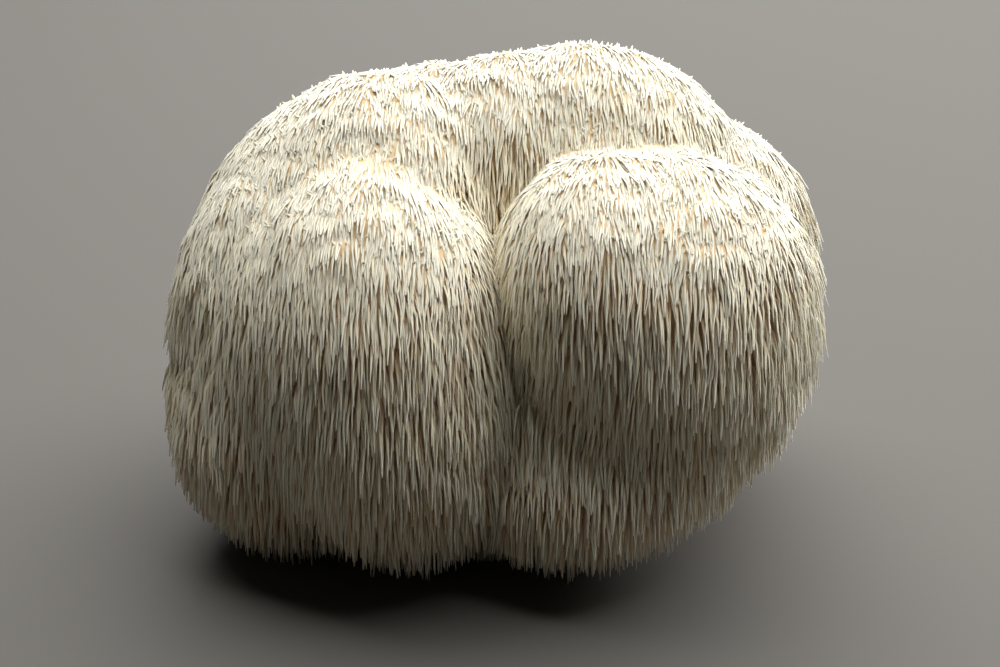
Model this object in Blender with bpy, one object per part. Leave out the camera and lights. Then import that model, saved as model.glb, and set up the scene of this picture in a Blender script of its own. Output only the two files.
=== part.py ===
"""Lion's mane mushroom: a lobed, cream fruiting body hung with spines, cut off flat underneath.

X runs to the right, Y to the back and Z up. The flat cut lies on Z = 0.
"""
import math
import random

import bmesh
import bpy
from mathutils import Euler, Matrix, Vector, noise
from mathutils.bvhtree import BVHTree

MM = 0.001
NODE = "fruiting_body"

# Flesh lobes in millimetres: centre, radii, and the turns about Z and Y in degrees.
LOBES = {
    "upper_left": ((-31.8, 3.0, 63.2), (36.4, 31.0, 24.0), 34, -45),
    "upper_rear": ((-12.0, 20.0, 71.2), (20.0, 22.0, 22.0), 0, 0),
    "front_left": ((-21.4, -20.0, 45.1), (27.2, 34.8, 38.6), 0, -13),
    "left_bridge": ((-40.8, -8.0, 52.6), (22.0, 24.4, 30.4), 50, 24),
    "left_fill": ((-33.0, -15.5, 47.0), (23.0, 28.5, 32.0), 0, 0),
    "low_left": ((-41.2, -8.0, 34.0), (24.4, 31.0, 30.0), 0, 0),
    "crown": ((18.8, 19.0, 68.6), (32.4, 29.0, 28.8), 0, 0),
    "saddle": ((3.0, 17.0, 70.8), (24.5, 26.0, 25.0), 0, 0),
    "right_shoulder": ((40.6, 21.0, 53.4), (26.6, 31.0, 28.0), 0, 0),
    "front_mid": ((23.4, -23.6, 63.4), (20.0, 29.4, 23.2), 0, -9),
    "front_right": ((35.2, -20.0, 57.2), (28.8, 34.6, 28.0), 0, 0),
    "low_right": ((28.2, -21.8, 33.4), (35.0, 30.8, 19.6), 0, -31),
    "rear_left": ((-27.0, 30.0, 44.0), (31.0, 27.0, 36.5), 0, 0),
    "rear_right": ((26.0, 34.0, 42.0), (35.0, 25.0, 36.0), 0, 0),
    "core": ((0.0, 4.0, 38.0), (38.0, 34.0, 31.0), 0, 0),
}

LOBE_SUBDIVISIONS = 5

# The stalk under the lobes, which the cut goes through.
STALK_CENTRE = (-1.0, 11.0)
STALK_RADIUS = 30.0
STALK_WIDENING = 1.1
STALK_SIDES = 64
STALK_TOP = 30.0
STALK_BELOW = 12.0

# The surface: grain of the joined lobes, rounding of the folds, and the number of spines.
GRAIN = 1.6
ROUNDING_PASSES = 7
ROUNDING_SHARE = 0.5
SPINES = 3450
EVENING_PASSES = 12
EVENING_SHARE = 0.6
RIPPLE = 0.5
RIPPLE_SIZE = 11.0
RIM_SNAP = 1.4
CUT_TOLERANCE = 0.001
CUT_LEVEL = 0.1

# Spines: short studs on the upward faces, long hanging ones on the sides and below.
# The slopes are the heights of the skin's normal, from -1 for level undersides to 1 for level tops.
STUD_SLOPE = 0.92
HANGING_SLOPE = 0.30
UNDER_SLOPE = -0.8
SPINE_SEED = 41
OUTWARD = 3.3
SIDE_DROP = 9.2
UNDER_DROP = 8.0
UNDER_OUTWARD = 0.6
LENGTH_SPREAD = 0.15
FLOOR_GAP = 0.5
SETTLING_PASSES = 60
SETTLING_SHARE = 0.88
SIDE_START = 0.004
SIDE_REACH = 1.08

FLESH_COLOUR = (0.86, 0.80, 0.68, 1.0)


def clear_objects():
    for thing in list(bpy.data.objects):
        bpy.data.objects.remove(thing, do_unlink=True)


def add_lobe(shape, centre, radii, turn_z, turn_y):
    """One ellipsoid of flesh."""
    turn = Euler((0.0, math.radians(turn_y), 0.0)).to_matrix()
    turn = Euler((0.0, 0.0, math.radians(turn_z))).to_matrix() @ turn
    size = Matrix.Diagonal((*(Vector(radii) * MM), 1.0))
    place = Matrix.Translation(Vector(centre) * MM) @ turn.to_4x4() @ size
    bmesh.ops.create_icosphere(shape, subdivisions=LOBE_SUBDIVISIONS, radius=1.0, matrix=place)


def add_stalk(shape):
    """The round stalk, which reaches down through the cut."""
    depth = STALK_TOP + STALK_BELOW
    middle = Vector((*STALK_CENTRE, (STALK_TOP - STALK_BELOW) / 2)) * MM
    bmesh.ops.create_cone(
        shape, cap_ends=True, segments=STALK_SIDES, radius1=STALK_RADIUS * MM,
        radius2=STALK_RADIUS * STALK_WIDENING * MM, depth=depth * MM, matrix=Matrix.Translation(middle))


def shape_from_modifiers(shape, settings):
    """The shape as it is after the modifiers in settings, a list of (kind, values)."""
    mesh = bpy.data.meshes.new("flesh")
    shape.to_mesh(mesh)
    holder = bpy.data.objects.new("flesh", mesh)
    bpy.context.scene.collection.objects.link(holder)
    for kind, values in settings:
        modifier = holder.modifiers.new(kind.lower(), kind)
        for name, value in values.items():
            setattr(modifier, name, value)
    graph = bpy.context.evaluated_depsgraph_get()
    made = bpy.data.meshes.new_from_object(holder.evaluated_get(graph))
    result = bmesh.new()
    result.from_mesh(made)
    bpy.data.objects.remove(holder, do_unlink=True)
    bpy.data.meshes.remove(made)
    bpy.data.meshes.remove(mesh)
    return result


def joined_lobes():
    """The lobes and the stalk as one closed skin with rounded folds."""
    shape = bmesh.new()
    for centre, radii, turn_z, turn_y in LOBES.values():
        add_lobe(shape, centre, radii, turn_z, turn_y)
    add_stalk(shape)
    skin = shape_from_modifiers(shape, [
        ("REMESH", {"mode": "VOXEL", "voxel_size": GRAIN * MM}),
        ("SMOOTH", {"factor": ROUNDING_SHARE, "iterations": ROUNDING_PASSES}),
    ])
    shape.free()
    return skin


def ripple(skin):
    """Low uneven swells of the skin."""
    skin.normal_update()
    for vertex in skin.verts:
        height = noise.noise(vertex.co / (RIPPLE_SIZE * MM))
        vertex.co += vertex.normal * height * RIPPLE * MM


def even_triangles(skin):
    """About one triangle to a spine, all of much the same size."""
    fine = BVHTree.FromBMesh(skin)
    share = SPINES / sum(len(face.verts) - 2 for face in skin.faces)
    coarse = shape_from_modifiers(skin, [
        ("TRIANGULATE", {}),
        ("DECIMATE", {"ratio": share, "use_collapse_triangulate": True}),
    ])
    for _ in range(EVENING_PASSES):
        moved = {}
        for vertex in coarse.verts:
            around = [edge.other_vert(vertex).co for edge in vertex.link_edges]
            moved[vertex] = vertex.co.lerp(sum(around, Vector()) / len(around), EVENING_SHARE)
        for vertex, place in moved.items():
            vertex.co = fine.find_nearest(place)[0]
        coarse.normal_update()
        bmesh.ops.beautify_fill(coarse, faces=coarse.faces[:], edges=coarse.edges[:], method="ANGLE")
    return coarse


def cut_flat(skin):
    """Cuts the skin off on Z = 0 and closes it with one flat face."""
    for vertex in skin.verts:
        if abs(vertex.co.z) < RIM_SNAP * MM:
            vertex.co.z = 0.0
    everything = skin.verts[:] + skin.edges[:] + skin.faces[:]
    bmesh.ops.bisect_plane(
        skin, geom=everything, dist=CUT_TOLERANCE * MM, plane_co=(0, 0, 0), plane_no=(0, 0, 1),
        clear_inner=True)
    rim = [edge for edge in skin.edges if edge.is_boundary]
    bmesh.ops.contextual_create(skin, geom=rim)
    bmesh.ops.triangulate(skin, faces=[face for face in skin.faces if len(face.verts) == 4])
    skin.normal_update()


def smooth_step(low, high, value):
    share = min(max((value - low) / (high - low), 0.0), 1.0)
    return share * share * (3.0 - 2.0 * share)


def spine_step(normal, chance):
    """How far a spine's tip lies from its root: out along the skin's normal, then down the skin."""
    hang = smooth_step(STUD_SLOPE, HANGING_SLOPE, normal.z)
    under = smooth_step(0.0, UNDER_SLOPE, normal.z)
    downhill = Vector((0.0, 0.0, -1.0)) + normal * max(normal.z, 0.0)
    if hang > 0.0:
        downhill.normalize()
    outward = OUTWARD + (UNDER_OUTWARD - OUTWARD) * under
    drop = hang * (SIDE_DROP + (UNDER_DROP - SIDE_DROP) * under)
    spread = 1.0 + LENGTH_SPREAD * (2.0 * chance.random() - 1.0)
    return (normal * outward + downhill * drop) * spread * MM


def above_floor(root, step):
    """The step, with its drop cut back so that the tip stays above the cut."""
    lowest = FLOOR_GAP * MM - root.z
    return Vector((step.x, step.y, max(step.z, min(lowest, 0.0))))


def grow_spines(skin):
    """Draws a spine out of every face but the cut. Gives each tip with its root and step."""
    chance = random.Random(SPINE_SEED)
    faces = [face for face in skin.faces if face.calc_center_median().z > CUT_LEVEL * MM]
    spines = {}
    for tip in bmesh.ops.poke(skin, faces=faces)["verts"]:
        step = spine_step(tip.link_faces[0].normal, chance)
        spines[tip] = [tip.co.copy(), above_floor(tip.co, step)]
    place_tips(spines)
    return spines


def place_tips(spines):
    for tip, (root, step) in spines.items():
        tip.co = root + step


def crossing_spines(skin, spines):
    """The tips of the spines whose sides run into another face, and of those that they meet."""
    tree = BVHTree.FromBMesh(skin)
    skin.faces.ensure_lookup_table()
    found = set()
    for tip in spines:
        for edge in tip.link_edges:
            foot = edge.other_vert(tip)
            way = tip.co - foot.co
            start = foot.co + way * SIDE_START
            hit, _, index, _ = tree.ray_cast(start, way, way.length * SIDE_REACH)
            if hit is None:
                continue
            corners = skin.faces[index].verts
            if foot in corners or tip in corners:
                continue
            found.add(tip)
            found.update(corner for corner in corners if corner in spines)
    return found


def settle_spines(skin, spines):
    """Shortens the spines in the folds until none of them crosses another."""
    for _ in range(SETTLING_PASSES):
        crossing = crossing_spines(skin, spines)
        if not crossing:
            break
        for tip in crossing:
            spines[tip][1] *= SETTLING_SHARE
        place_tips(spines)


def stand_on_cut(skin):
    """Puts the middle of the plan's box on X = Y = 0."""
    lows = [min(vertex.co[axis] for vertex in skin.verts) for axis in (0, 1)]
    highs = [max(vertex.co[axis] for vertex in skin.verts) for axis in (0, 1)]
    middle = Vector(((lows[0] + highs[0]) / 2, (lows[1] + highs[1]) / 2, 0.0))
    bmesh.ops.translate(skin, verts=skin.verts, vec=-middle)


def flesh_material():
    material = bpy.data.materials.new("cream_flesh")
    material.use_nodes = True
    surface = material.node_tree.nodes["Principled BSDF"]
    surface.inputs["Base Color"].default_value = FLESH_COLOUR
    surface.inputs["Roughness"].default_value = 0.75
    return material


def build():
    clear_objects()
    fine = joined_lobes()
    ripple(fine)
    skin = even_triangles(fine)
    fine.free()
    cut_flat(skin)
    spines = grow_spines(skin)
    settle_spines(skin, spines)
    stand_on_cut(skin)
    bmesh.ops.recalc_face_normals(skin, faces=skin.faces)
    mesh = bpy.data.meshes.new(NODE)
    skin.to_mesh(mesh)
    skin.free()
    mesh.materials.append(flesh_material())
    body = bpy.data.objects.new(NODE, mesh)
    bpy.context.scene.collection.objects.link(body)


build()
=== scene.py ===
import math
from itertools import product

import bmesh
import bpy
import numpy as np
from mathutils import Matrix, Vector, noise
from mathutils.geometry import intersect_point_line
from mathutils.bvhtree import BVHTree
from mathutils.kdtree import KDTree


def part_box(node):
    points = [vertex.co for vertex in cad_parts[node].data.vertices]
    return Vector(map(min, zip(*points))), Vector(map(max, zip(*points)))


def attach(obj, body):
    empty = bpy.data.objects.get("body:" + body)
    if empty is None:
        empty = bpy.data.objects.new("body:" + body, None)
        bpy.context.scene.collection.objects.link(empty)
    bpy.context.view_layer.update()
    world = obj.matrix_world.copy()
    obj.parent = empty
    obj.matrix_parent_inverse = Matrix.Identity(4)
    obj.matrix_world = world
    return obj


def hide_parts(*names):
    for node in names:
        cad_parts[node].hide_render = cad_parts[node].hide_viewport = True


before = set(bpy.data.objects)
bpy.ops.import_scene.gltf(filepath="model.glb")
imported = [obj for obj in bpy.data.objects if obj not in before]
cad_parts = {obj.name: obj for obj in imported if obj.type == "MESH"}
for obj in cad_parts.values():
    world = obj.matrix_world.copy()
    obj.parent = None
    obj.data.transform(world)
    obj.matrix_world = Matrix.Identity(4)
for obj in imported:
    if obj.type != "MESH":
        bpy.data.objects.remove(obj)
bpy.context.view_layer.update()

mm = 0.001
samePlace = 0.01 * mm       # points nearer than this are one
down = Vector((0.0, 0.0, -1.0))
cadBody = "fruiting_body"
cadLow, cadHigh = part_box(cadBody)
bodyHeight = cadHigh[2] - cadLow[2]
bodyMiddle = Vector(((cadLow[0] + cadHigh[0]) / 2, (cadLow[1] + cadHigh[1]) / 2, 0.0))


# camera first: the photograph's side and height, a little above the mushroom

cameraView = {
    "elevation": 22.0,      # degrees above the horizon
    "distance": 0.600,
    "lens": 101.3,
    "sensorWidth": 36.0,
    "nearest": 0.01,        # where the camera starts to see
    "aimHeight": 0.420,     # share of the mushroom's height
    "aimSide": 0.2 * mm,
}


def placeCamera(view):
    tilt = math.radians(view["elevation"])
    aim = bodyMiddle + Vector((view["aimSide"], 0.0, view["aimHeight"] * bodyHeight))
    camera = bpy.data.objects.new("camera", bpy.data.cameras.new("camera"))
    camera.data.lens = view["lens"]
    camera.data.sensor_width = view["sensorWidth"]
    camera.data.clip_start = view["nearest"]
    camera.location = aim + Vector((0.0, -math.cos(tilt), math.sin(tilt))) * view["distance"]
    camera.rotation_euler = (math.pi / 2 - tilt, 0.0, 0.0)
    bpy.context.scene.collection.objects.link(camera)
    bpy.context.scene.camera = camera


placeCamera(cameraView)
print("camera placed")


# in what follows the upright share of the skin is the height of its normal:
# 1 on level tops, 0 on walls and -1 on level undersides


def smoothStep(low, high, value):
    share = min(max((value - low) / (high - low), 0.0), 1.0)
    return share * share * (3.0 - 2.0 * share)


def between(first, second, share):
    return first + (second - first) * share


def readAlong(profile, places):
    # a profile holds values by place and goes straight from one to the next
    return np.interp(places, list(profile), list(profile.values()))


# flesh: the skin under the spines, found again in the solid by taking its spines off

fleshShape = {
    "roundings": 2,             # subdivision levels of the skin
    "topSwell": 2.75 * mm,      # the upper sides lie higher, under shorter spines
    "sideSwell": 0.6 * mm,
    "topSlope": (0.15, 0.75),   # upright shares between which the sides turn into top
    "underSlope": (-0.9, -0.2),     # and the underside into sides
    "swellHeight": (0.3 * mm, 6.0 * mm),    # the swell comes in between these heights
    "lumps": 0.25,              # share of the swell that comes and goes
    "lumpSize": 5.0 * mm,
    "foldPasses": 16,
    "foldSmoothing": 0.5,
    "foldNarrowing": 0.5,       # share of its reach that a fold's smoothing loses by the last pass
    "cutLevel": 0.05 * mm,      # skin below this is the cut face
    "scarRings": 5,             # rings of the cut face
    "scarHeart": 0.6,           # its middle, in ring widths
    "scarRelief": 0.35 * mm,
    "scarLift": 0.5,            # the more of it, the less of the cut face touches the floor
    "scarGrain": 5.0 * mm,
}

# shallow folds, filled by the spines that hang over them: both ends and the reach in mm
softFolds = {
    "underFrontRight": ((9.0, -42.0, 44.0), (44.0, -47.0, 33.0), 17.0),
    "farLeft": ((-62.0, -24.0, 48.0), (-60.0, -31.0, 43.0), 12.0),
}


def skinWithoutSpines():
    # each of the solid's spines is three-sided, so three edges meet at its tip
    shape = bmesh.new()
    shape.from_mesh(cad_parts[cadBody].data)
    bmesh.ops.remove_doubles(shape, verts=shape.verts, dist=samePlace)
    tips = [vert for vert in shape.verts if len(vert.link_edges) == 3]
    bmesh.ops.dissolve_verts(shape, verts=tips)
    cut = [face for face in shape.faces if all(vert.co.z < samePlace for vert in face.verts)]
    bmesh.ops.dissolve_faces(shape, faces=cut)
    return shape


def softenFolds(shape, form):
    passes = form["foldPasses"]
    for start, end, reach in softFolds.values():
        start, end = Vector(start) * mm, Vector(end) * mm
        gaps = {}
        for vert in shape.verts:
            _, share = intersect_point_line(vert.co, start, end)
            gaps[vert] = (vert.co - start.lerp(end, min(max(share, 0.0), 1.0))).length
        for turn in range(passes):
            widest = reach * mm * (1.0 - form["foldNarrowing"] * turn / passes)
            near = [vert for vert, gap in gaps.items() if gap < widest]
            bmesh.ops.smooth_vert(
                shape, verts=near, factor=form["foldSmoothing"],
                use_axis_x=True, use_axis_y=True, use_axis_z=True)


def sharpenCut(shape, form):
    # a sharp rim round the cut face, and rings inside it that get the cut's own finish
    crease = shape.edges.layers.float.new("crease_edge")
    cut = max(shape.faces, key=lambda face: len(face.verts))
    for edge in cut.edges:
        edge[crease] = 1.0
    cut.material_index = 1
    centre = cut.calc_center_median()
    for ring in range(form["scarRings"]):
        made = bmesh.ops.inset_individual(shape, faces=[cut], thickness=0.0, depth=0.0)["faces"]
        for face in made:
            face.material_index = 1
        shrink = 1.0 - 1.0 / (form["scarRings"] - ring + form["scarHeart"])
        for vert in cut.verts:
            vert.co = centre + (vert.co - centre) * shrink


def roundedMesh(shape, name, levels):
    mesh = bpy.data.meshes.new(name)
    shape.to_mesh(mesh)
    holder = bpy.data.objects.new(name, mesh)
    bpy.context.scene.collection.objects.link(holder)
    rounding = holder.modifiers.new("rounding", "SUBSURF")
    rounding.levels = levels
    rounding.render_levels = levels
    graph = bpy.context.evaluated_depsgraph_get()
    made = bpy.data.meshes.new_from_object(holder.evaluated_get(graph))
    bpy.data.objects.remove(holder, do_unlink=True)
    return made


def swellSkin(mesh, form):
    ways = [vert.normal.copy() for vert in mesh.vertices]
    for vert, way in zip(mesh.vertices, ways):
        lump = 1.0 + noise.noise(vert.co / form["lumpSize"]) * form["lumps"]
        top = smoothStep(*form["topSlope"], way.z)
        side = smoothStep(*form["underSlope"], way.z) * form["sideSwell"]
        clear = smoothStep(*form["swellHeight"], vert.co.z)
        vert.co += way * between(side, form["topSwell"], top) * lump * clear


def roughenScar(mesh, form):
    for vert in mesh.vertices:
        if vert.co.z < form["cutLevel"]:
            height = noise.noise(vert.co / form["scarGrain"]) + form["scarLift"]
            vert.co.z = max(height, 0.0) * form["scarRelief"]


skinShape = skinWithoutSpines()
softenFolds(skinShape, fleshShape)
sharpenCut(skinShape, fleshShape)
skinMesh = roundedMesh(skinShape, "flesh", fleshShape["roundings"])
swellSkin(skinMesh, fleshShape)
skinShape.free()
print("skin of", len(skinMesh.polygons), "faces")


# spines: where they root

spineSpread = {
    # least distance between them, by upright share of the skin
    "spacing": {-0.8: 1.55 * mm, -0.3: 1.04 * mm, 0.25: 1.04 * mm, 0.75: 0.80 * mm},
    "lowest": 0.3 * mm,     # no spines on skin below this
    "tries": 560000,
    "seed": 11,
}
cellsAround = list(product((-1, 0, 1), repeat=3))


def skinArrays(mesh):
    mesh.calc_loop_triangles()
    points = np.empty(len(mesh.vertices) * 3)
    mesh.vertices.foreach_get("co", points)
    normals = np.empty(len(mesh.vertices) * 3)
    mesh.vertex_normals.foreach_get("vector", normals)
    corners = np.empty(len(mesh.loop_triangles) * 3, dtype=np.int64)
    mesh.loop_triangles.foreach_get("vertices", corners)
    return points.reshape(-1, 3), normals.reshape(-1, 3), corners.reshape(-1, 3)


def scatterOnSkin(points, normals, corners, spread):
    # random places on the skin, spread evenly by face area, the cut left out
    chance = np.random.default_rng(spread["seed"])
    a, b, c = (points[corners[:, i]] for i in range(3))
    area = np.linalg.norm(np.cross(b - a, c - a), axis=1)
    area[np.maximum(np.maximum(a[:, 2], b[:, 2]), c[:, 2]) < spread["lowest"]] = 0.0
    picked = chance.choice(len(corners), spread["tries"], p=area / area.sum())
    first = np.sqrt(chance.random(spread["tries"]))[:, None]
    second = chance.random(spread["tries"])[:, None]
    shares = (1.0 - first, first * (1.0 - second), first * second)
    chosen = corners[picked]
    roots = sum(share * points[chosen[:, i]] for i, share in enumerate(shares))
    facing = sum(share * normals[chosen[:, i]] for i, share in enumerate(shares))
    return roots, facing / np.linalg.norm(facing, axis=1)[:, None]


def isCrowded(root, home, gap, taken):
    for x, y, z in cellsAround:
        for other in taken.get((home[0] + x, home[1] + y, home[2] + z), ()):
            if math.dist(other, root) < gap:
                return True
    return False


def keepApart(roots, facing, spread):
    # of the random places, those that keep their distance from the ones kept before
    gaps = readAlong(spread["spacing"], facing[:, 2])
    cells = np.floor(roots / max(spread["spacing"].values())).astype(int)
    taken = {}
    kept = []
    for index, (root, home, gap) in enumerate(zip(roots.tolist(), cells.tolist(), gaps.tolist())):
        if not isCrowded(root, home, gap, taken):
            taken.setdefault(tuple(home), []).append(root)
            kept.append(index)
    return kept


skinPoints, skinNormals, skinCorners = skinArrays(skinMesh)
triedRoots, triedFacing = scatterOnSkin(skinPoints, skinNormals, skinCorners, spineSpread)
keptPlaces = keepApart(triedRoots, triedFacing, spineSpread)
spineRoots = triedRoots[keptPlaces]
spineFacing = triedFacing[keptPlaces]
print("spines rooted:", len(spineRoots))


# spines: how they hang

spineHang = {
    "topSlope": (0.20, 0.80),       # upright shares between which the sides turn into top
    "underSlope": (0.0, -0.8),      # and into underside
    "shelter": 16.0 * mm,           # skin this close above makes a place count as a side

    # three values are for the sides, the underside and the top
    "reach": (2.4 * mm, 0.7 * mm, 0.45 * mm),   # how far they grow off the skin before they hang
    "drop": (9.4 * mm, 7.6 * mm, 4.8 * mm),     # how far they hang
    "reachSpread": 0.34,
    "dropSpread": 0.20,

    # two values are for the sides and the top
    "arch": (1.0, 1.25),            # height of the bend, as a share of the reach
    "settle": (0.95, 0.42),         # and of the tip
    "bendPlace": (0.2, 0.1),        # share of the drop at which they bend
    "swayKept": (0.5, 0.9),         # share of the sway that is left
    "depth": (1.0, 0.4),            # how deep under its neighbours the shortest one counts, for painted shade on the deep spines

    "rootDepth": 0.8 * mm,          # how deep they stand in the flesh
    "topRun": 1.6 * mm,             # how far uphill the top's spines start
    "combing": 1.5,                 # how much the top's spines run to the front or the back
    "combingTurn": (0.10, 0.40),    # backward shares of the skin between which they turn round
    "sway": 0.06,                   # lean of each spine for itself
    "clumpSway": 0.27,              # lean that neighbours share
    "clumpSize": 4.0 * mm,
    "swayOffSkin": 0.6,             # share taken out of the lean towards the skin or off it
    "stubs": 0.16,                  # share of upright ones on level tops
    "stubFading": 4,                # power by which they get fewer on slopes
    "stubHeight": 1.3 * mm,
    "stubShortest": 0.6,            # share of that height
    "stubLean": 1.5,                # times the sway that a stub leans
    "creaseShare": 0.42,            # of the gap in a crease that one side's spines fill
    "foldShadeWidth": 12.0 * mm,         # gap within which a crease gets painted shade on its spines
    "openGap": 20.0 * mm,           # a gap this wide is no crease
    "rayStart": 0.3 * mm,           # gaps are measured from this far off the skin
    "seed": 23,
}


def atPlace(values, under, top):
    side, below, above = values
    return between(between(side, below, under), above, top)


def slopeShares(root, normal, skinTree, hang):
    # how far a place counts as underside and as top
    under = smoothStep(*hang["underSlope"], normal.z)
    top = smoothStep(*hang["topSlope"], normal.z)
    if top > 0.0 and skinTree.ray_cast(root + normal * hang["rayStart"], -down, hang["shelter"])[0]:
        top = 0.0
    return under, top


def freeGap(root, normal, skinTree, hang):
    # how far the skin across a crease is
    start = root + normal * hang["rayStart"]
    _, _, _, gap = skinTree.ray_cast(start, normal, hang["openGap"])
    return hang["openGap"] if gap is None else gap


def flowOver(normal, hang):
    # the way the spines hang: straight down the walls, over the top to the front or the back
    if normal.z <= 0.0:
        return down.copy()
    forward = 1.0 - 2.0 * smoothStep(*hang["combingTurn"], normal.y)
    way = down + Vector((0.0, -1.0, 0.0)) * forward * hang["combing"] * normal.z
    return (way - normal * way.dot(normal)).normalized()


def hangSpine(root, normal, slope, gap, lift, chance, hang):
    # one spine as three guide points: root, bend and tip
    under, top = slope
    reach = atPlace(hang["reach"], under, top) * (1.0 + hang["reachSpread"] * lift)
    reach = min(reach, gap * hang["creaseShare"])
    drop = atPlace(hang["drop"], under, top) * (1.0 + hang["dropSpread"] * chance.uniform(-1.0, 1.0))
    sway = Vector(chance.normal(0.0, 1.0, 3)) * hang["sway"]
    sway += noise.noise_vector(root / hang["clumpSize"]) * hang["clumpSway"]
    sway -= normal * sway.dot(normal) * hang["swayOffSkin"]
    sway *= between(*hang["swayKept"], top)
    start = root - normal * hang["rootDepth"]
    if chance.random() < top ** hang["stubFading"] * hang["stubs"]:
        height = hang["stubHeight"] * chance.uniform(hang["stubShortest"], 1.0)
        return [start, root + normal * height / 2, root + (normal + sway * hang["stubLean"]) * height]
    fall = (flowOver(normal, hang) + sway).normalized()
    start -= fall * top * hang["topRun"]
    archHeight = reach * between(*hang["arch"], top)
    bend = root + normal * archHeight + fall * drop * between(*hang["bendPlace"], top)
    tip = root + normal * reach * between(*hang["settle"], top) + fall * drop
    return [start, bend, tip]


def hangSpines(roots, facing, skinTree, hang):
    # the guide points of all spines, how deep in a fold each stands,
    # and how far under its neighbours it lies; the last two set painted shade on the spines
    chance = np.random.default_rng(hang["seed"])
    noise.seed_set(hang["seed"])    # without it the vector noise starts from the clock
    guides, folds, depths = [], [], []
    for place, way in zip(roots.tolist(), facing.tolist()):
        root, normal = Vector(place), Vector(way)
        slope = slopeShares(root, normal, skinTree, hang)
        gap = freeGap(root, normal, skinTree, hang)
        lift = chance.uniform(-1.0, 1.0)
        guides.append(hangSpine(root, normal, slope, gap, lift, chance, hang))
        folds.append(1.0 - smoothStep(0.0, hang["foldShadeWidth"], gap))
        depths.append((1.0 - lift) / 2 * between(*hang["depth"], slope[1]))
    return guides, np.array(folds), np.array(depths)


tipPairs = {
    "share": 0.30,          # share of the tips that look for another one
    "reach": 2.2 * mm,
    "lean": 0.72,           # how far both go to the place between them
    "choices": 4,           # nearest tips looked at, itself among them
    "seed": 24,
}


def pairTips(guides, pairs):
    # some neighbours lean together and end in nearly one point
    chance = np.random.default_rng(pairs["seed"])
    tree = KDTree(len(guides))
    for index, (_, _, tip) in enumerate(guides):
        tree.insert(tip, index)
    tree.balance()
    joined = set()
    for index in chance.permutation(len(guides)).tolist():
        if index in joined or chance.random() > pairs["share"]:
            continue
        for _, other, gap in tree.find_n(guides[index][2], pairs["choices"]):
            if other == index or other in joined or gap > pairs["reach"]:
                continue
            middle = (guides[index][2] + guides[other][2]) / 2
            for one in (index, other):
                guides[one][2] = guides[one][2].lerp(middle, pairs["lean"])
            joined.update((index, other))
            break


wallSpines = {
    "slope": 0.35,              # upright share below which they lie over what they hang in front of
    "height": 1.08 * mm,        # of their tips over it
    "underHeight": 0.2,         # share of that height over level undersides
    "longestLift": 2.0 * mm,
    "floorGap": 0.45 * mm,      # every spine stays this far off the floor
}


def clearOfSkin(guides, facing, skinTree, walls):
    # spines of the walls lie over what they hang in front of, and all stay above the floor
    for guide, way in zip(guides, facing.tolist()):
        if way[2] < walls["slope"]:
            place, normal, _, _ = skinTree.find_nearest(guide[2])
            height = (guide[2] - place).dot(normal)
            wanted = walls["height"] * max(1.0 + min(normal.z, 0.0), walls["underHeight"])
            if height < wanted:
                guide[2] = guide[2] + normal * min(wanted - height, walls["longestLift"])
        for point in guide:
            point.z = max(point.z, walls["floorGap"])


skinTree = BVHTree.FromPolygons(skinPoints.tolist(), skinCorners.tolist())
spineGuides, spineFoldShade, spineDepths = hangSpines(spineRoots, spineFacing, skinTree, spineHang)
pairTips(spineGuides, tipPairs)
clearOfSkin(spineGuides, spineFacing, skinTree, wallSpines)
print("spines hung")


# spines: their shape

spineForm = {
    "sides": 4,
    "stretches": 3,             # straight lengths along a spine
    "radius": {0.0: 0.37 * mm, 0.4: 0.37 * mm, 0.7: 0.30 * mm, 1.0: 0.10 * mm},    # by share of its length
    "sizeSpread": 0.16,
    "seed": 37,

    # by upright share of the skin: the share of the radius that a spine has there,
    # and how far its shading follows the skin below, as on close fur
    "size": {0.2: 1.0, 0.8: 0.80},
    "softness": {0.1: 0.35, 0.7: 0.70},

    # a straight spine has no bend to take its sides from, so this way gives them
    "sideWay": (0.31, 0.17, 0.05),
    "sideShare": 0.02,
}


def spineTemplate(form):
    # one straight spine of radius and length 1, which every spine bends
    shape = bmesh.new()
    bmesh.ops.create_cone(
        shape, cap_ends=True, segments=form["sides"], radius1=1.0, radius2=1.0, depth=1.0)
    bmesh.ops.translate(shape, verts=shape.verts, vec=(0.0, 0.0, 0.5))
    upright = [edge for edge in shape.edges if abs(edge.verts[0].co.z - edge.verts[1].co.z) > 0.5]
    bmesh.ops.subdivide_edges(shape, edges=upright, cuts=form["stretches"] - 1)
    point = [face for face in shape.faces if face.normal.z > 0.9 and face.calc_center_median().z > 0.5]
    bmesh.ops.poke(shape, faces=point)
    shape.verts.index_update()
    across = np.array([vert.co[:2] for vert in shape.verts])
    along = np.array([vert.co.z for vert in shape.verts])
    faces = [[vert.index for vert in face.verts] for face in shape.faces]
    shape.free()
    return across, along, faces


def unitRows(rows):
    return rows / np.linalg.norm(rows, axis=2)[:, :, None]


def bentSpines(guides, facing, across, along, form):
    # the corners of all spines, spine by spine, and the way each corner faces for shading
    chance = np.random.default_rng(form["seed"])
    root, bend, tip = (np.array([guide[i] for guide in guides])[:, None, :] for i in range(3))
    share = along[None, :, None]
    centre = root * (1 - share) ** 2 + bend * 2 * share * (1 - share) + tip * share ** 2
    way = unitRows((bend - root) * 2 * (1 - share) + (tip - bend) * 2 * share)
    side = np.cross(bend - root, tip - root)
    side += np.cross(bend - root, np.array(form["sideWay"])) * form["sideShare"]
    side = unitRows(side)
    over = unitRows(np.cross(way, side))
    size = 1.0 + form["sizeSpread"] * chance.uniform(-1.0, 1.0, len(guides))
    size *= readAlong(form["size"], facing[:, 2])
    radius = (readAlong(form["radius"], along)[None, :] * size[:, None])[:, :, None]
    outward = side * across[None, :, :1] + over * across[None, :, 1:]
    softness = readAlong(form["softness"], facing[:, 2])[:, None, None]
    shading = unitRows(between(outward, facing[:, None, :], softness))
    return centre + radius * outward, shading


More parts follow.
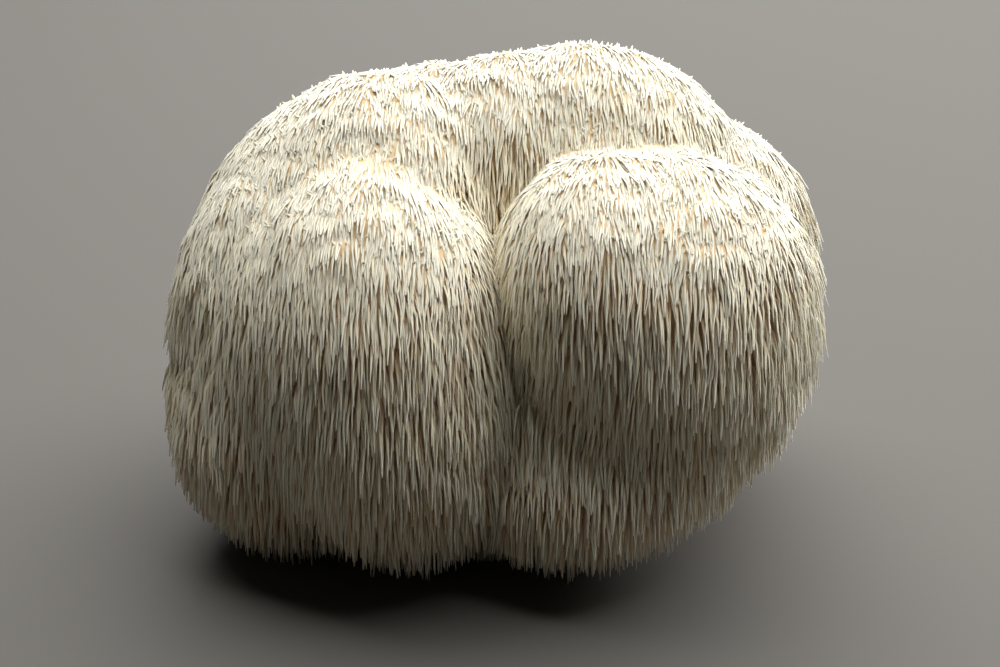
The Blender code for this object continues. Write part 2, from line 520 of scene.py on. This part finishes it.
# middle of each region of spines, in shares of the half widths and the height
spineRegions = {
    "spines_front_left": (-0.45, -0.75, 0.45),
    "spines_front_right": (0.50, -0.75, 0.50),
    "spines_left": (-0.95, 0.0, 0.45),
    "spines_right": (0.95, 0.1, 0.50),
    "spines_crown": (0.05, 0.1, 1.0),
    "spines_rear_left": (-0.45, 0.85, 0.45),
    "spines_rear_right": (0.50, 0.85, 0.45),
}


def regionOfEach(roots):
    scale = np.array([cadHigh[0] - bodyMiddle.x, cadHigh[1] - bodyMiddle.y, bodyHeight])
    shares = (roots - np.array(bodyMiddle)) / scale
    middles = np.array(list(spineRegions.values()))
    return np.argmin(np.linalg.norm(shares[:, None, :] - middles[None, :, :], axis=2), axis=1)


def meshOfSpines(name, corners, shading, faces, layers):
    # the template's faces over the corners of each spine, with the layers' values at the corners
    count, perSpine = corners.shape[:2]
    sizes = np.tile([len(face) for face in faces], count)
    loops = (np.concatenate(faces)[None, :] + np.arange(count)[:, None] * perSpine).ravel()
    mesh = bpy.data.meshes.new(name)
    mesh.vertices.add(count * perSpine)
    mesh.loops.add(len(loops))
    mesh.polygons.add(len(sizes))
    mesh.vertices.foreach_set("co", corners.ravel())
    mesh.loops.foreach_set("vertex_index", loops.astype(np.int32))
    mesh.polygons.foreach_set("loop_start", (np.cumsum(sizes) - sizes).astype(np.int32))
    mesh.update(calc_edges=True)
    mesh.shade_smooth()
    mesh.normals_split_custom_set_from_vertices(shading.reshape(-1, 3).tolist())
    for layer, values in layers.items():
        attribute = mesh.attributes.new(layer, "FLOAT", "POINT")
        attribute.data.foreach_set("value", values.ravel().astype(np.float32))
    return mesh


spineAcross, spineAlong, spineFaces = spineTemplate(spineForm)
spineCorners, spineShading = bentSpines(spineGuides, spineFacing, spineAcross, spineAlong, spineForm)


# finishes: what the three share

growthFinish = {
    "patchSize": 14.0 * mm,
    "patchDetail": 3.0,
    "patchEdges": (0.42, 0.72),     # noise between which a patch comes in
    "grainSize": 0.5 * mm,
    "grainDetail": 2.0,
    "roughness": (0.62, 0.85),
    "bumpStrength": 0.35,
    "shine": 0.2,
    "glowDepth": 0.6 * mm,          # how far light goes through the flesh
}


def feed(links, source, socket):
    # a socket takes another socket's values or one plain value
    if isinstance(source, bpy.types.NodeSocket):
        links.new(source, socket)
    else:
        socket.default_value = source


def mixColours(nodes, links, share, first, second):
    mix = nodes.new("ShaderNodeMix")
    mix.data_type = "RGBA"
    feed(links, share, mix.inputs[0])
    feed(links, first, mix.inputs[6])       # 6, 7 and 2 are the node's colour sockets
    feed(links, second, mix.inputs[7])
    return mix.outputs[2]


def addNoise(nodes, links, place, scale, detail):
    texture = nodes.new("ShaderNodeTexNoise")
    texture.inputs["Detail"].default_value = detail
    links.new(place, texture.inputs["Vector"])
    links.new(scale, texture.inputs["Scale"])
    return texture.outputs["Fac"]


def growthToneGroup(finish):
    # soft patches and fine grain over a base colour, shared by spines, skin and cut
    group = bpy.data.node_groups.new("growthTone", "ShaderNodeTree")
    sockets = (
        ("Place", "INPUT", "Vector"), ("Base", "INPUT", "Color"), ("Warm", "INPUT", "Color"),
        ("Patch Scale", "INPUT", "Float"), ("Grain Scale", "INPUT", "Float"),
        ("Patch Amount", "INPUT", "Float"), ("Color", "OUTPUT", "Color"),
        ("Roughness", "OUTPUT", "Float"), ("Height", "OUTPUT", "Float"))
    for name, way, kind in sockets:
        group.interface.new_socket(name=name, in_out=way, socket_type="NodeSocket" + kind)
    nodes, links = group.nodes, group.links
    given = nodes.new("NodeGroupInput").outputs
    result = nodes.new("NodeGroupOutput").inputs
    patches = addNoise(nodes, links, given["Place"], given["Patch Scale"], finish["patchDetail"])
    grain = addNoise(nodes, links, given["Place"], given["Grain Scale"], finish["grainDetail"])
    amount = nodes.new("ShaderNodeMapRange")
    amount.inputs["From Min"].default_value, amount.inputs["From Max"].default_value = finish["patchEdges"]
    links.new(patches, amount.inputs["Value"])
    links.new(given["Patch Amount"], amount.inputs["To Max"])
    toned = mixColours(nodes, links, amount.outputs["Result"], given["Base"], given["Warm"])
    links.new(toned, result["Color"])
    gloss = nodes.new("ShaderNodeMapRange")
    gloss.inputs["To Min"].default_value, gloss.inputs["To Max"].default_value = finish["roughness"]
    links.new(grain, gloss.inputs["Value"])
    links.new(gloss.outputs["Result"], result["Roughness"])
    links.new(grain, result["Height"])
    return group


growthTone = growthToneGroup(growthFinish)


def startMaterial(name, glow):
    material = bpy.data.materials.new(name)
    material.use_nodes = True
    surface = material.node_tree.nodes["Principled BSDF"]
    surface.inputs["Subsurface Weight"].default_value = glow
    surface.inputs["Subsurface Radius"].default_value = (1.0, 1.0, 1.0)
    surface.inputs["Subsurface Scale"].default_value = growthFinish["glowDepth"]
    surface.inputs["Specular IOR Level"].default_value = growthFinish["shine"]
    return material, material.node_tree.nodes, material.node_tree.links, surface


def addTone(nodes, links, surface, base, finish):
    place = nodes.new("ShaderNodeTexCoord")
    tone = nodes.new("ShaderNodeGroup")
    tone.node_tree = growthTone
    tone.inputs["Warm"].default_value = finish["patchColour"]
    tone.inputs["Patch Scale"].default_value = 1.0 / growthFinish["patchSize"]
    tone.inputs["Grain Scale"].default_value = 1.0 / growthFinish["grainSize"]
    tone.inputs["Patch Amount"].default_value = finish["patches"]
    links.new(place.outputs["Object"], tone.inputs["Place"])
    feed(links, base, tone.inputs["Base"])
    bump = nodes.new("ShaderNodeBump")
    bump.inputs["Strength"].default_value = growthFinish["bumpStrength"]
    bump.inputs["Distance"].default_value = finish["bumpHeight"]
    links.new(tone.outputs["Height"], bump.inputs["Height"])
    links.new(bump.outputs["Normal"], surface.inputs["Normal"])
    links.new(tone.outputs["Color"], surface.inputs["Base Color"])
    links.new(tone.outputs["Roughness"], surface.inputs["Roughness"])


# finishes: one by one

spineFinish = {
    # painted shade: the brown toward the root end shows in the gaps between the spines as their shade and
    # warm glow
    "rootGapShadeColour": (0.62, 0.29, 0.12, 1.0),
    "strandColour": (0.925, 0.87, 0.66, 1.0),
    "tipColour": (0.955, 0.915, 0.75, 1.0),
    "colourPlaces": (0.05, 0.64, 0.97),     # of those three along a spine
    "paintedTopLight": {0.25: 0.0, 0.875: 0.35},    # painted light: how much nearer the tip's colour on the tops, by upright share
    "foldPaintedShade": 0.70,                   # painted shade: how much nearer the root's colour in a fold
    "warmToneAndShadeColour": (0.70, 0.45, 0.25, 1.0),  # which the low and the deep spines lean to as painted shade, and all spines a little at random
    # painted shade on the spines that lie deep under their neighbours
    "depthPaintedShade": 0.70,
    "lowPaintedShade": {0.10: 0.30, 0.55: 0.0},   # painted shade on the low spines, by share of the mushroom's height
    "warmthSpread": 0.20,
    "warmthFrom": 0.40,                     # less warmth than this doesn't show
    "mostWarm": 0.75,                       # share of the warm colour in the warmest
    "patchColour": (0.72, 0.60, 0.42, 1.0),
    "patches": 0.22,
    "bumpHeight": 0.05 * mm,
    "glow": 0.6,
    "seed": 38,
}

# the skin shows only in the gaps between spines: its warm peach colour is painted glow and shade there;
# its root-brown patches come and go at random
skinFinish = {
    "colour": (0.87, 0.66, 0.40, 1.0),
    "patchColour": spineFinish["rootGapShadeColour"],
    "patches": 0.4,
    "bumpHeight": 0.15 * mm,
    "glow": 0.3,
}

scarFinish = {
    "colour": (0.86, 0.80, 0.66, 1.0),
    "patchColour": (0.60, 0.43, 0.24, 1.0),
    "patches": 0.8,
    "bumpHeight": 0.3 * mm,
    "glow": 0.2,
}


def spineMaterial(finish):
    material, nodes, links, surface = startMaterial("creamSpines", finish["glow"])
    along = nodes.new("ShaderNodeAttribute")
    along.attribute_name = "along"
    warmthAndShade = nodes.new("ShaderNodeAttribute")
    warmthAndShade.attribute_name = "warmthAndShade"
    # root to tip: the brown root end paints the shade and glow in the gaps between spines
    ramp = nodes.new("ShaderNodeValToRGB")
    rootStop, tipStop = ramp.color_ramp.elements
    rootPlace, strandPlace, tipPlace = finish["colourPlaces"]
    rootStop.position, rootStop.color = rootPlace, finish["rootGapShadeColour"]
    tipStop.position, tipStop.color = tipPlace, finish["tipColour"]
    ramp.color_ramp.elements.new(strandPlace).color = finish["strandColour"]
    links.new(along.outputs["Fac"], ramp.inputs["Fac"])
    # the warm colour comes in by the tint layer: painted shade on deep and low spines, and warmth that
    # differs at random
    shadeAndWarmthShare = nodes.new("ShaderNodeMapRange")
    shadeAndWarmthShare.inputs["From Min"].default_value = finish["warmthFrom"]
    shadeAndWarmthShare.inputs["To Max"].default_value = finish["mostWarm"]
    links.new(warmthAndShade.outputs["Fac"], shadeAndWarmthShare.inputs["Value"])
    tinted = mixColours(
        nodes, links, shadeAndWarmthShare.outputs["Result"], ramp.outputs["Color"], finish["warmToneAndShadeColour"])
    addTone(nodes, links, surface, tinted, finish)
    return material


def plainMaterial(name, finish):
    material, nodes, links, surface = startMaterial(name, finish["glow"])
    addTone(nodes, links, surface, finish["colour"], finish)
    return material


def placesInRamp(along, facing, folds, finish):
    # where each corner of each spine lies between the root's colour and the tip's: nearer the tip on the
    # tops as painted light, nearer the root in folds as painted shade
    topLightShare = readAlong(finish["paintedTopLight"], facing[:, 2])
    places = between(along[None, :], 1.0, topLightShare[:, None])
    return places * (1.0 - folds[:, None] * finish["foldPaintedShade"])


# painted shade on the deep and the low spines, with warmth that differs at random
def warmthAndShadeOfEach(roots, depths, finish):
    spread = np.random.default_rng(finish["seed"]).random(len(roots)) * finish["warmthSpread"]
    low = readAlong(finish["lowPaintedShade"], roots[:, 2] / bodyHeight)
    return depths * finish["depthPaintedShade"] + spread + low


# the pieces, each with its finish

def addPiece(name, mesh, materials):
    piece = bpy.data.objects.new(name, mesh)
    for material in materials:
        mesh.materials.append(material)
    bpy.context.scene.collection.objects.link(piece)
    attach(piece, "root")
    return piece


roughenScar(skinMesh, fleshShape)
skinMesh.shade_smooth()
fleshMaterials = [plainMaterial("skinWithGapGlow", skinFinish), plainMaterial("cutFlesh", scarFinish)]
flesh = addPiece("flesh", skinMesh, fleshMaterials)
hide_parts(cadBody)

creamSpines = spineMaterial(spineFinish)
rampPlaces = placesInRamp(spineAlong, spineFacing, spineFoldShade, spineFinish)
spineWarmthAndShade = warmthAndShadeOfEach(spineRoots, spineDepths, spineFinish)
spineHomes = regionOfEach(spineRoots)
for number, regionName in enumerate(spineRegions):
    chosen = spineHomes == number
    layers = {"along": rampPlaces[chosen], "warmthAndShade": np.repeat(spineWarmthAndShade[chosen], len(spineAlong))}
    spines = meshOfSpines(regionName, spineCorners[chosen], spineShading[chosen], spineFaces, layers)
    addPiece(regionName, spines, [creamSpines])
    print(regionName, int(chosen.sum()), "spines")


# floor and light

studio = {
    "floorColour": (0.115, 0.111, 0.105, 1.0),
    "floorRoughness": 0.8,
    "floorSize": 3.0,
    "airColour": (0.66, 0.68, 0.60, 1.0),
    "airStrength": 0.03,
}

studioLights = {
    "keyLight": {"power": 31.0, "place": (0.21, 0.36, 0.72), "size": 1.6, "colour": (1.0, 0.98, 0.94)},
    "fillLight": {"power": 0.05, "place": (-0.35, -0.7, 0.35), "size": 0.7, "colour": (0.92, 0.96, 1.0)},
}


def layFloor(settings):
    shape = bmesh.new()
    bmesh.ops.create_grid(shape, x_segments=1, y_segments=1, size=settings["floorSize"] / 2)
    mesh = bpy.data.meshes.new("floor")
    shape.to_mesh(mesh)
    shape.free()
    floor = bpy.data.objects.new("floor", mesh)
    material = bpy.data.materials.new("plainFloor")
    material.use_nodes = True
    surface = material.node_tree.nodes["Principled BSDF"]
    surface.inputs["Base Color"].default_value = settings["floorColour"]
    surface.inputs["Roughness"].default_value = settings["floorRoughness"]
    mesh.materials.append(material)
    bpy.context.scene.collection.objects.link(floor)


def addLight(name, settings):
    light = bpy.data.objects.new(name, bpy.data.lights.new(name, "AREA"))
    light.data.energy = settings["power"]
    light.data.size = settings["size"]
    light.data.color = settings["colour"]
    light.location = settings["place"]
    aim = bodyMiddle + Vector((0.0, 0.0, bodyHeight / 2))
    light.rotation_euler = (aim - light.location).to_track_quat("-Z", "Y").to_euler()
    bpy.context.scene.collection.objects.link(light)


def lightTheAir(settings):
    world = bpy.data.worlds.new("studioAir")
    world.use_nodes = True
    air = world.node_tree.nodes["Background"]
    air.inputs["Color"].default_value = settings["airColour"]
    air.inputs["Strength"].default_value = settings["airStrength"]
    bpy.context.scene.world = world


layFloor(studio)
for lightName, lightSettings in studioLights.items():
    addLight(lightName, lightSettings)
lightTheAir(studio)
bpy.context.scene.view_settings.view_transform = "Standard"
print("studio lit")
